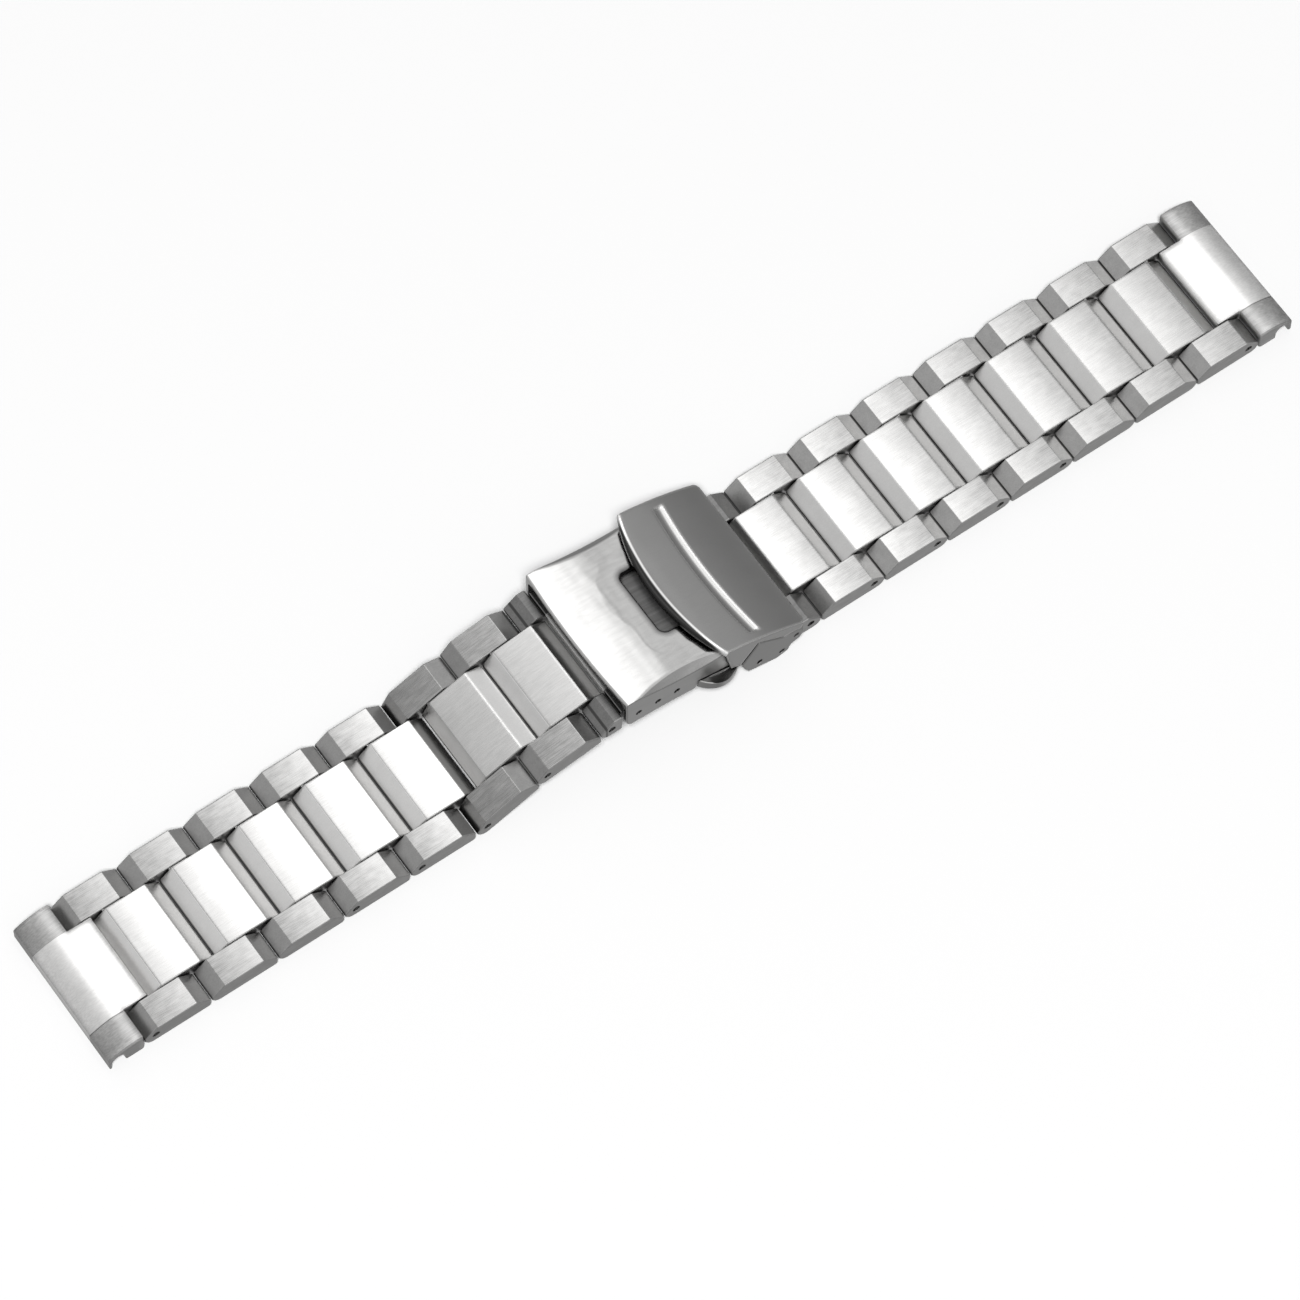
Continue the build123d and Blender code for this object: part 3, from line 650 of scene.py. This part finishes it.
@dataclass(frozen=True)
class SheetSteel:
    """Pressed or turned steel of the clasp and the pins, with one finish on faces and one on walls.

    Attributes:
        name: Name of the finish.
        face: Finish of the faces that look up or along the strap.
        wall: Finish of the faces that look across it.
        tilt: Rise of the piece toward +X, in degrees.
        grain: Direction of the brushing.
        depth: Depth of the grain in metres.
        ripple: Depth of the slow unevenness that pressing leaves.
        gap_reach: Width of the gaps into which shade is painted.
        openness: Open shares of the surroundings at which a gap's shade is full and at which it ends.
        edge_radius: Radius that the edges look rounded by.
        edge_sheen: Rise of the tone for a painted highlight on edges.
        sink: Soft sink toward an opening, with a line of painted shade round it.
        highlight_arcs: Arcs of painted highlight, some with painted shadow outside them.
    """

    name: str
    face: Face
    wall: Face
    tilt: float = CLASP_TILT
    grain: Grain = Grain.FINE
    depth: float = 0.6e-6
    ripple: float = 0.0
    gap_reach: float = 1.6 * MM
    openness: Pair = (0.05, 0.45)
    edge_radius: float = 0.15 * MM
    edge_sheen: float = 0.0
    sink: Sink | None = None
    highlight_arcs: tuple[HighlightArc, ...] = ()

    def normal(self, graph: Graph, place: Socket, rounded: Socket) -> Socket:
        """Raises the rounded surface by ripple and sink.

        Args:
            graph: Graph to add to.
            place: Place in the level frame.
            rounded: Normal from softened().

        Returns:
            The new normal's socket.
        """
        found = rounded
        if self.ripple:
            waves = graph.noise(place, Unevenness.SHEET_PRESSING, detail=1.0)
            found = graph.bump(waves, self.ripple, found)
        if self.sink:
            found = graph.bump(self.sink.height(graph, place), self.sink.depth, found)
        return found

    def build(self) -> Material:
        """Makes the material.

        Returns:
            Material that reads the piece's own coordinates.
        """
        graph = Graph(self.name)
        place = graph.level("Object", self.tilt)
        _, across, _ = graph.parts(graph.level("Normal", self.tilt))
        wall = graph.smooth(graph.math("ABSOLUTE", across), *WALL_FACING)
        lines = graph.noise(place, self.grain, detail=3.0)
        cloud = graph.noise(place, Unevenness.SHEET_PATCH, detail=3.0)
        stripes = graph.swing(lines, graph.between(wall, self.face.streak, self.wall.streak))
        patch = graph.swing(cloud, PATCH)
        factor = graph.math("ADD", 1.0, graph.math("ADD", stripes, patch))
        # Painted shade in narrow gaps
        factor = graph.math("MULTIPLY", factor, graph.painted_gap_shade(self.gap_reach, self.openness))
        rounded = graph.softened(self.edge_radius)
        # Painted highlight on edges
        wear = graph.math("MULTIPLY_ADD", graph.highlight_edges(rounded), self.edge_sheen, 1.0)
        factor = graph.math("MULTIPLY", factor, wear)
        # Painted shade round the sink's opening, and painted highlight and shadow along the arcs
        for form in (self.sink, *self.highlight_arcs):
            if form:
                factor = graph.math("MULTIPLY", factor, form.shade(graph, place))
        tone = graph.math("MULTIPLY", graph.between(wall, self.face.tone, self.wall.tone), factor)
        rough = graph.between(wall, self.face.roughness, self.wall.roughness)
        rough = graph.math("ADD", rough, graph.math("MULTIPLY", patch, PATCH_ROUGHNESS))
        normal = graph.bump(lines, self.depth, self.normal(graph, place, rounded))
        return graph.steel(tone, rough, normal, SHEET_STRETCH)


# Faces that several blocks share, the first right link's bevel, the steepest link's centre block
WALL = Face(0.36, 0.34, 0.20)
# The block ends' low tones paint shade into the gaps between blocks
SIDE_END = Face(0.12, 0.4)
CENTRE_END = Face(0.34, 0.45)
# The raised links' brighter ends are painted light
RAISED_END = Face(0.5, 0.4)
# The first right link's brighter centre bevel is painted light
FIRST_BEVEL = Face(0.72, 0.3, 0.05)
# The steepest link's centre bevels carry their own painted light and shade
STEEP = Faces(Face(0.86, 0.26, 0.08), Face(0.55, 0.3, 0.05), Face(0.78, 0.3, 0.05), WALL, RAISED_END)


def even(top: Face, bevel: Face, end: Face) -> Faces:
    """Finishes of a block whose two bevels are alike."""
    return Faces(top, bevel, bevel, WALL, end)


@dataclass(frozen=True)
class Stance:
    """Way in which a link lies, and how light falls off along its tops.

    Attributes:
        tilt: Rise of the link toward +X, in degrees.
        pin_reach: Distance of its pin axis from the middle, along the tilted link.
        fade: Share by which a top brightens toward the clasp, as painted light.
        lift: Factors of a top's tone at the outer end of the strap and next to the clasp, as painted
            light.
        centre: Finish of its centre block, where it isn't that of the other links.
    """

    tilt: float = 0.0
    pin_reach: float = HALF_LINK_PIN
    fade: float = 0.46
    lift: Pair = (0.86, 1.1)
    centre: Faces | None = None


FLAT = Stance()
STEEPEST = Stance(22.0, 31.82 * MM, fade=0.2, lift=(0.86, 0.86), centre=STEEP)
LEANING = Stance(9.7, 24.46 * MM, fade=0.2, lift=(0.86, 0.86))


@dataclass(frozen=True)
class StrapHalf:
    """One half of the strap: seven links, their pins, a half link and an end piece.

    Attributes:
        side: Which half.
        links: Number of full links.
        tops: Finishes of the tops of side blocks and centre blocks.
        side_bevels: Tones of the side blocks' left and right bevels, which differ by painted light and
            shade.
        centre_bevels: Tones of the centre blocks' left and right bevels, which differ by painted light and
            shade.
        raised: By the number of a link that does not lie flat, the way in which it lies.
        first_bevel: Right bevel of the first link's centre block, where painted light makes it unlike the
            others.
    """

    side: Side
    links: int
    tops: tuple[Face, Face]
    side_bevels: Pair
    centre_bevels: Pair
    raised: dict[int, Stance]
    first_bevel: Face | None = None

    @property
    def side_faces(self) -> Faces:
        """Finish of the side blocks."""
        left, right = (Face(tone, roughness=0.3, streak=0.14) for tone in self.side_bevels)
        return Faces(self.tops[0], left, right, WALL, SIDE_END)

    @property
    def centre_faces(self) -> Faces:
        """Finish of the centre blocks."""
        left, right = (Face(tone, roughness=0.3, streak=0.05) for tone in self.centre_bevels)
        return Faces(self.tops[1], left, right, WALL, CENTRE_END)

    def steel(self, index: int) -> Material:
        """Finish of one link. Links that lie alike share it.

        Args:
            index: Number of the link, from the end piece.

        Returns:
            The link's material.
        """
        stance = self.raised.get(index, FLAT)
        side, centre = self.side_faces, self.centre_faces
        number = "flat"
        if stance is not FLAT:
            side = replace(side, end=RAISED_END)
            centre = stance.centre or replace(centre, end=RAISED_END)
            number = index
        elif index == 1 and self.first_bevel:
            centre = replace(centre, right=self.first_bevel)
            number = index
        name = f"brushed_link_{self.side.value}_{number}"
        made = BlockSteel(
            name,
            side,
            centre,
            tilt=stance.tilt,
            pin_reach=stance.pin_reach,
            fade=stance.fade,
            lift=stance.lift,
        )
        return bpy.data.materials.get(name) or made.build()

    def dress(self) -> None:
        """Gives every piece of this half its finish."""
        word = self.side.value
        for index in range(1, self.links + 1):
            wear(f"link_{word}_{index}", self.steel(index))
        for index in range(1, self.links + 2):
            wear(f"link_pin_{word}_{index}", finish("drawn_pin"))
        wear(f"half_link_{word}", finish("half_link_painted_shade"))
        wear(f"end_piece_{word}", finish("banded_end"))


@dataclass(frozen=True)
class Clasp:
    """Folding clasp: cover, buttons, blades, bracket and flip lock.

    Attributes:
        finishes: By the name of a finish, the names of the pieces that wear it.
    """

    finishes: dict[str, tuple[str, ...]]

    def dress(self) -> None:
        """Gives every piece of the clasp its finish."""
        for name, nodes in self.finishes.items():
            for node in nodes:
                wear(node, finish(name))


FINISHES = (
    # The end piece's near-white centre ends paint light into what mirrors them
    BlockSteel(
        "banded_end",
        side=even(Face(0.46, 0.32, 0.26), Face(0.35, 0.32, 0.26), Face(0.4, 0.36)),
        centre=even(Face(0.8, 0.32, 0.1), Face(0.76, 0.3, 0.16), Face(0.95, 0.36)),
        edge_radii=(1.5 * MM, 1.5 * MM),
    ),
    # The half links' low tones paint in the shade of the clasp's cover
    BlockSteel(
        "half_link_painted_shade",
        side=even(Face(0.16, 0.32, 0.3), Face(0.24, 0.32, 0.2), Face(0.07, 0.4)),
        centre=even(Face(0.4, 0.4, 0.2), Face(0.4, 0.4, 0.2), Face(0.85, 0.4)),
        gap_reach=0.4 * MM,
    ),
    SheetSteel(
        "polished_cover",
        Face(0.6, 0.15, 0.26),
        Face(0.36, 0.3, 0.2),
        grain=Grain.FLOWING,
        depth=1.5e-6,
        ripple=0.05 * MM,
        openness=(0.25, 0.7),
        sink=Sink(),
    ),
    SheetSteel(
        "satin_lock",
        Face(0.32, 0.13, 0.08),
        Face(0.34, 0.3, 0.1),
        edge_radius=0.62 * MM,
        edge_sheen=0.8,
        highlight_arcs=(
            # Painted highlight along the lip's edge with painted shadow under it, and a painted highlight
            # along the crease
            HighlightArc(33.33 * MM, 37.07 * MM, reach=0.3 * MM, half_width=13.5 * MM, gain=2.6, beyond=0.12),
            HighlightArc(66.49 * MM, 63.0 * MM, reach=0.6 * MM, half_width=11.2 * MM, gain=1.0),
        ),
    ),
    SheetSteel("satin_bracket", Face(0.36, 0.3, 0.1), Face(0.28, 0.3, 0.12), edge_sheen=0.8),
    SheetSteel("tumbled_blade", Face(0.5, 0.36, 0.1), Face(0.45, 0.36, 0.1), grain=Grain.TUMBLED),
    SheetSteel(
        "hatched_box",
        Face(0.3, 0.85, 0.9),
        Face(0.2, 0.36, 0.2),
        grain=Grain.HATCHED,
        depth=4e-6,
        gap_reach=0.8 * MM,
        openness=(0.45, 0.85),
    ),
    # The pins' near-black ends across the strap paint in the shade of their holes
    SheetSteel("drawn_pin", Face(0.36, 0.3, 0.1), Face(0.06, 0.3, 0.5), grain=Grain.TUMBLED),
    SheetSteel("polished_button", Face(0.4, 0.24, 0.1), Face(0.34, 0.24, 0.1), gap_reach=0.8 * MM),
)


def finish(name: str) -> Material:
    """Material of a named finish, made on first use.

    Args:
        name: Name of the finish.

    Returns:
        The material.
    """
    found = bpy.data.materials.get(name)
    return found or next(each for each in FINISHES if each.name == name).build()


def wear(node: str, material: Material) -> None:
    """Gives a piece of the frame its material.

    Args:
        node: Name of the piece.
        material: Its finish.
    """
    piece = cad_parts[node]
    piece.data.materials.clear()
    piece.data.materials.append(material)
    LOG.info("%s wears %s", node, material.name)


# Light of the dome by degrees round the Y axis, 0 straight up and 90 toward +X
DOME_GLOW = (
    (-180, 0.40),
    (-150, 0.42),
    (-105, 0.44),
    (-81, 0.50),
    (-61, 0.70),
    (-28, 0.63),
    (-8, 0.85),
    (3, 1.25),
    (9.5, 1.65),
    (14, 2.15),
    (16.5, 2.35),
    (21, 1.80),
    (26.5, 1.60),
    (28.2, 1.45),
    (29.8, 1.07),
    (31.5, 0.81),
    (33, 0.67),
    (36.4, 0.65),
    (38.5, 1.00),
    (40.5, 0.90),
    (43, 0.80),
    (50, 0.76),
    (62, 0.54),
    (75, 0.44),
    (93, 0.56),
    (115, 0.50),
    (133, 0.30),
    (148, 0.34),
    (156, 0.56),
    (164, 0.64),
    (171, 0.42),
    (180, 0.36),
)


@dataclass(frozen=True)
class Studio:
    """Pale floor, a dome of soft light with a bright band overhead, and the camera.

    Attributes:
        azimuth: Degrees from which the camera looks, 0 along +Y.
        elevation: Degrees of the camera above the floor.
        distance: From the camera to the point that it looks at.
        target: That point.
        focal: Focal length in pixels of the photograph's frame.
        sensor: Width of the camera's sensor in millimetres.
        clip: Nearest and farthest distance that the camera sees.
        glow: Light of the dome by degrees round the Y axis.
        brightest: Light at the top of the dome's curve, above the brightest of its points.
        wash_watts: Power of the lamp that lights the floor.
        wash_size: Side of that lamp.
        wash_distance: Distance of that lamp from the origin.
        floor_size: Side of the floor.
        floor_tone: Grey of the floor.
        floor_roughness: Roughness of the floor.
        floor_gloss: Specular level of the floor.
    """

    azimuth: float = -34.878659
    elevation: float = 63.623288
    distance: float = 0.950496
    target: tuple[float, float, float] = (-0.0040441, -0.0023335, 0.00175)
    focal: float = 7440.86
    sensor: float = 36.0
    clip: Pair = (0.01, 20.0)
    glow: tuple[Pair, ...] = DOME_GLOW
    brightest: float = 3.0
    wash_watts: float = 2920.0
    wash_size: float = 1.2
    wash_distance: float = 6.0
    floor_size: float = 3.0
    floor_tone: float = 0.12
    floor_roughness: float = 0.9
    floor_gloss: float = 0.1

    @property
    def back(self) -> Vector:
        """Unit vector from the target to the camera."""
        turn, rise = math.radians(self.azimuth), math.radians(self.elevation)
        return Vector((math.sin(turn) * math.cos(rise), -math.cos(turn) * math.cos(rise), math.sin(rise)))

    def aim(self, thing: bpy.types.Object) -> None:
        """Turns a camera or lamp to look along the camera's line of sight, and puts it in the scene.

        Args:
            thing: Camera or lamp, in its place.
        """
        thing.rotation_mode = "QUATERNION"
        thing.rotation_quaternion = (-self.back).to_track_quat("-Z", "Y")
        bpy.context.scene.collection.objects.link(thing)

    def camera(self) -> None:
        """Places the camera on its line of sight."""
        data = bpy.data.cameras.new("camera")
        data.sensor_width = self.sensor
        data.lens = self.focal / PHOTO_PIXELS * self.sensor
        data.clip_start, data.clip_end = self.clip
        eye = bpy.data.objects.new("camera", data)
        eye.location = Vector(self.target) + self.back * self.distance
        self.aim(eye)
        bpy.context.scene.camera = eye

    def floor(self) -> None:
        """Lays a pale floor under the strap, which the steel does not mirror."""
        half = self.floor_size / 2
        corners = [(-half, -half, 0), (half, -half, 0), (half, half, 0), (-half, half, 0)]
        mesh = bpy.data.meshes.new("floor")
        mesh.from_pydata(corners, [], [(0, 1, 2, 3)])
        ground = bpy.data.objects.new("floor", mesh)
        paint = bpy.data.materials.new("floor")
        paint.use_nodes = True
        shader = paint.node_tree.nodes["Principled BSDF"]
        grey = (self.floor_tone, self.floor_tone, self.floor_tone, 1)
        shader.inputs["Base Color"].default_value = grey
        shader.inputs["Roughness"].default_value = self.floor_roughness
        shader.inputs["Specular IOR Level"].default_value = self.floor_gloss
        mesh.materials.append(paint)
        ground.visible_glossy = False
        bpy.context.scene.collection.objects.link(ground)

    def wash(self) -> None:
        """Hangs a lamp behind the camera that only lights the floor; the steel mirrors the dome alone."""
        data = bpy.data.lights.new("wash", "AREA")
        data.size = self.wash_size
        data.energy = self.wash_watts
        lamp = bpy.data.objects.new("wash", data)
        lamp.location = self.back * self.wash_distance
        lamp.visible_glossy = False
        self.aim(lamp)

    def world(self) -> None:
        """Makes the dome, whose brightness is a curve over the angle atan2(x, z) of a ray."""
        made = bpy.data.worlds.new("studio")
        made.use_nodes = True
        tree = made.node_tree
        tree.nodes.clear()
        way = tree.nodes.new("ShaderNodeTexCoord")
        split = tree.nodes.new("ShaderNodeSeparateXYZ")
        turn = tree.nodes.new("ShaderNodeMath")
        turn.operation = "ARCTAN2"
        share = tree.nodes.new("ShaderNodeMapRange")
        share.inputs["From Min"].default_value = -math.pi
        share.inputs["From Max"].default_value = math.pi
        curve = tree.nodes.new("ShaderNodeFloatCurve")
        line = curve.mapping.curves[0]
        points = [((angle + 180) / 360, light / self.brightest) for angle, light in self.glow]
        line.points[0].location, line.points[-1].location = points[0], points[-1]
        for x, y in points[1:-1]:
            line.points.new(x, y)
        for point in line.points:
            point.handle_type = "VECTOR"
        curve.mapping.update()
        glow = tree.nodes.new("ShaderNodeBackground")
        glow.inputs["Strength"].default_value = self.brightest
        output = tree.nodes.new("ShaderNodeOutputWorld")
        tree.links.new(way.outputs["Generated"], split.inputs[0])
        tree.links.new(split.outputs[0], turn.inputs[0])
        tree.links.new(split.outputs[2], turn.inputs[1])
        tree.links.new(turn.outputs[0], share.inputs["Value"])
        tree.links.new(share.outputs[0], curve.inputs["Value"])
        tree.links.new(curve.outputs[0], glow.inputs["Color"])
        tree.links.new(glow.outputs[0], output.inputs["Surface"])
        bpy.context.scene.world = made

    def build(self) -> None:
        """Sets up floor, light, camera and the way that tones are shown."""
        self.camera()
        self.floor()
        self.wash()
        self.world()
        bpy.context.scene.view_settings.view_transform = "Standard"


def main() -> None:
    """Dresses the strap and the clasp, and sets up the studio."""
    logging.basicConfig(level=logging.INFO, format="%(name)s: %(message)s")
    # The two halves' tones differ where light falls on them differently: painted light and shade
    StrapHalf(
        Side.LEFT,
        LINKS_PER_HALF,
        tops=(Face(0.44, 0.27, 0.26), Face(0.74, 0.26, 0.08)),
        side_bevels=(0.4, 0.38),
        centre_bevels=(0.86, 0.5),
        raised={6: STEEPEST, 7: LEANING},
    ).dress()
    StrapHalf(
        Side.RIGHT,
        LINKS_PER_HALF,
        tops=(Face(0.44, 0.27, 0.24), Face(0.5, 0.26, 0.14)),
        side_bevels=(0.46, 0.7),
        centre_bevels=(0.76, 0.5),
        raised={},
        first_bevel=FIRST_BEVEL,
    ).dress()
    Clasp(
        {
            "polished_cover": ("cover",),
            "satin_lock": ("flip_lock",),
            "satin_bracket": ("end_bracket",),
            "tumbled_blade": ("upper_blade", "lower_blade"),
            "hatched_box": ("button_box",),
            "polished_button": ("button_front", "button_back"),
            "drawn_pin": (
                "button_spring",
                "cover_hinge_pin",
                "blade_hinge_pin",
                "flip_lock_pin",
                "spring_bar_left",
                "spring_bar_right",
                "bracket_rivets",
            ),
        }
    ).dress()
    Studio().build()


if __name__ == "__main__":
    main()
